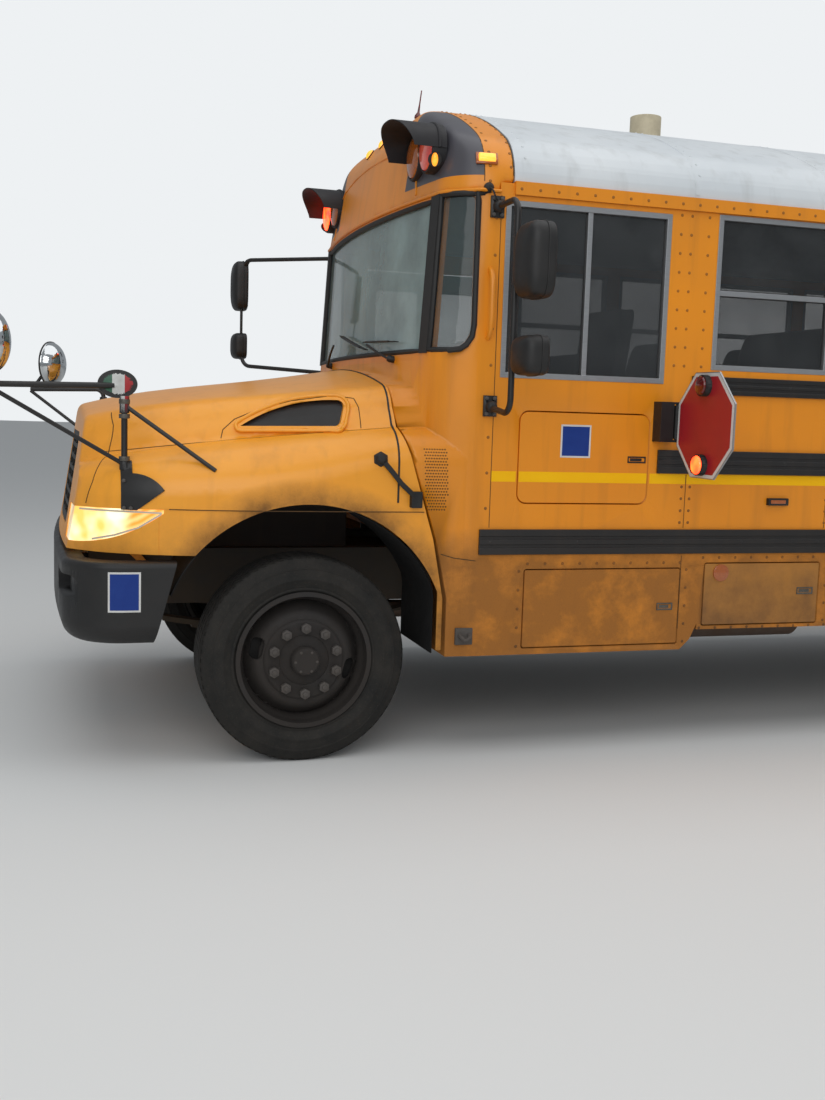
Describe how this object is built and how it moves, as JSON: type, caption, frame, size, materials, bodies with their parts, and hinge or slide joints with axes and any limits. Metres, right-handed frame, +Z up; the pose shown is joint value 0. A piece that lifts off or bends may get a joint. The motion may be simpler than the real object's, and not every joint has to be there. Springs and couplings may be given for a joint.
{
  "type": "school bus",
  "caption": "Conventional school bus with a tilting hood, hollow windowed cabin, hinged doors and stop sign, steered front wheels and twin rear wheels.",
  "frame": {"origin": "on the ground, on the centre plane, halfway along the overall length with the mirrors", "axes": "+X forward, +Y to the bus's left, +Z up"},
  "size_m": [11.4073, 3.428, 3.168],
  "materials": {
    "yellow_paint": "sun-faded gloss enamel",
    "white_paint": "gloss enamel",
    "black_paint": "satin enamel",
    "chassis_paint": "dusty satin enamel",
    "black_plastic": "moulded, weathered",
    "grey_plastic": "moulded",
    "beige_plastic": "moulded",
    "glass": "tinted safety glass",
    "lamp_lens": "moulded lens",
    "headlamp_lens": "clear moulded lens",
    "aluminium_frame": "mill finish",
    "rim_steel": "dusty enamel",
    "tyre_rubber": "road dusty",
    "seat_vinyl": "coated fabric",
    "red_sheet": "reflective sheet",
    "cast_iron": "dusty cast",
    "spring_steel": "rust film",
    "floor_rubber": "ribbed",
    "exhaust_steel": "heat tinted"
  },
  "bodies": {
    "root": {"chassis_frame": "chassis_paint", "crossmembers": "chassis_paint", "engine": "cast_iron", "front_axle": "cast_iron", "rear_axle": "cast_iron", "leaf_springs": "spring_steel", "driveshaft": "chassis_paint", "fuel_tank": "black_paint", "exhaust": "exhaust_steel", "front_bumper": "black_plastic", "rear_bumper": "black_paint", "floor": "floor_rubber", "left_side_wall": "yellow_paint", "right_side_wall": "yellow_paint", "roof": "white_paint", "front_cap": "yellow_paint", "rear_wall": "yellow_paint", "cowl": "yellow_paint", "windshield_frame": "yellow_paint", "glazing": "glass", "window_frames": "aluminium_frame", "rub_rails": "black_paint", "warning_lamps": "black_plastic", "tail_lamps": "lamp_lens", "dashboard": "grey_plastic", "steering_wheel": "black_plastic", "driver_seat": "seat_vinyl", "seat_frames": "black_paint", "seat_cushions": "seat_vinyl", "entrance_steps": "floor_rubber", "left_mirror": "black_plastic", "right_mirror": "black_plastic", "stop_arm_bracket": "black_plastic", "roof_hatches": "white_paint", "roof_vent": "beige_plastic"},
    "hood": {"hood": "yellow_paint", "hood_vents": "black_plastic", "grille": "black_plastic", "headlamps": "headlamp_lens", "crossview_mirrors": "black_plastic"},
    "stop_sign": {"stop_sign": "red_sheet"},
    "entrance_door_front": {"entrance_door_front": "black_paint"},
    "entrance_door_rear": {"entrance_door_rear": "black_paint"},
    "emergency_door": {"emergency_door": "yellow_paint"},
    "access_door": {"access_door": "yellow_paint"},
    "battery_door": {"battery_door": "yellow_paint"},
    "luggage_door": {"luggage_door": "yellow_paint"},
    "knuckle_left": {"knuckle_left": "cast_iron"},
    "knuckle_right": {"knuckle_right": "cast_iron"},
    "tie_rod": {"tie_rod": "spring_steel"},
    "front_left_wheel": {"front_left_rim": "rim_steel", "front_left_tyre": "tyre_rubber"},
    "front_right_wheel": {"front_right_rim": "rim_steel", "front_right_tyre": "tyre_rubber"},
    "rear_left_wheels": {"rear_left_rims": "rim_steel", "rear_left_tyres": "tyre_rubber"},
    "rear_right_wheels": {"rear_right_rims": "rim_steel", "rear_right_tyres": "tyre_rubber"}
  },
  "joints": [
    {"name": "hood_tilt", "type": "hinge", "parent": "root", "child": "hood", "pos_m": [5.308, 0, 0.6], "axis": [0, 1, 0], "range_deg": [0, 60]},
    {"name": "stop_arm_fold", "type": "hinge", "parent": "root", "child": "stop_sign", "pos_m": [2.748, 1.27, 1.51], "axis": [0, 0, 1], "range_deg": [0, 90]},
    {"name": "entrance_front_leaf", "type": "hinge", "parent": "root", "child": "entrance_door_front", "pos_m": [3.567, -1.209, 1.4], "axis": [0, 0, 1], "range_deg": [0, 85]},
    {"name": "entrance_rear_leaf", "type": "hinge", "parent": "root", "child": "entrance_door_rear", "pos_m": [2.765, -1.209, 1.4], "axis": [0, 0, 1], "range_deg": [-85, 0]},
    {"name": "emergency_door_swing", "type": "hinge", "parent": "root", "child": "emergency_door", "pos_m": [-5.499, -0.326, 1.6], "axis": [0, 0, 1], "range_deg": [0, 110]},
    {"name": "access_door_swing", "type": "hinge", "parent": "root", "child": "access_door", "pos_m": [3.482, 1.209, 1.35], "axis": [0, 0, -1], "range_deg": [0, 90]},
    {"name": "battery_door_swing", "type": "hinge", "parent": "root", "child": "battery_door", "pos_m": [3.431, 1.209, 0.67], "axis": [0, 0, -1], "range_deg": [0, 100]},
    {"name": "luggage_door_swing", "type": "hinge", "parent": "root", "child": "luggage_door", "pos_m": [2.521, 1.209, 0.72], "axis": [0, 0, -1], "range_deg": [0, 100]},
    {"name": "steer_left", "type": "hinge", "parent": "root", "child": "knuckle_left", "pos_m": [4.403, 0.86, 0.465], "axis": [0, 0, 1], "range_deg": [-45, 45]},
    {"name": "steer_right", "type": "hinge", "parent": "root", "child": "knuckle_right", "pos_m": [4.403, -0.86, 0.465], "axis": [0, 0, 1], "range_deg": [-45, 45]},
    {"name": "tie_rod_pivot", "type": "hinge", "parent": "knuckle_left", "child": "tie_rod", "pos_m": [4.233, 0.86, 0.353], "axis": [0, 0, 1], "range_deg": [-45, 45]},
    {"name": "front_left_roll", "type": "hinge", "parent": "knuckle_left", "child": "front_left_wheel", "pos_m": [4.403, 1.005, 0.45], "axis": [0, 1, 0], "continuous": true},
    {"name": "front_right_roll", "type": "hinge", "parent": "knuckle_right", "child": "front_right_wheel", "pos_m": [4.403, -1.005, 0.45], "axis": [0, 1, 0], "continuous": true},
    {"name": "rear_left_roll", "type": "hinge", "parent": "root", "child": "rear_left_wheels", "pos_m": [-2.049, 0.9, 0.45], "axis": [0, 1, 0], "continuous": true},
    {"name": "rear_right_roll", "type": "hinge", "parent": "root", "child": "rear_right_wheels", "pos_m": [-2.049, -0.9, 0.45], "axis": [0, 1, 0], "continuous": true}
  ],
  "couplings": [
    {"joint": "entrance_rear_leaf", "follows": "entrance_front_leaf", "ratio": -1},
    {"joint": "steer_right", "follows": "steer_left", "ratio": 1},
    {"joint": "tie_rod_pivot", "follows": "steer_left", "ratio": -1}
  ]
}
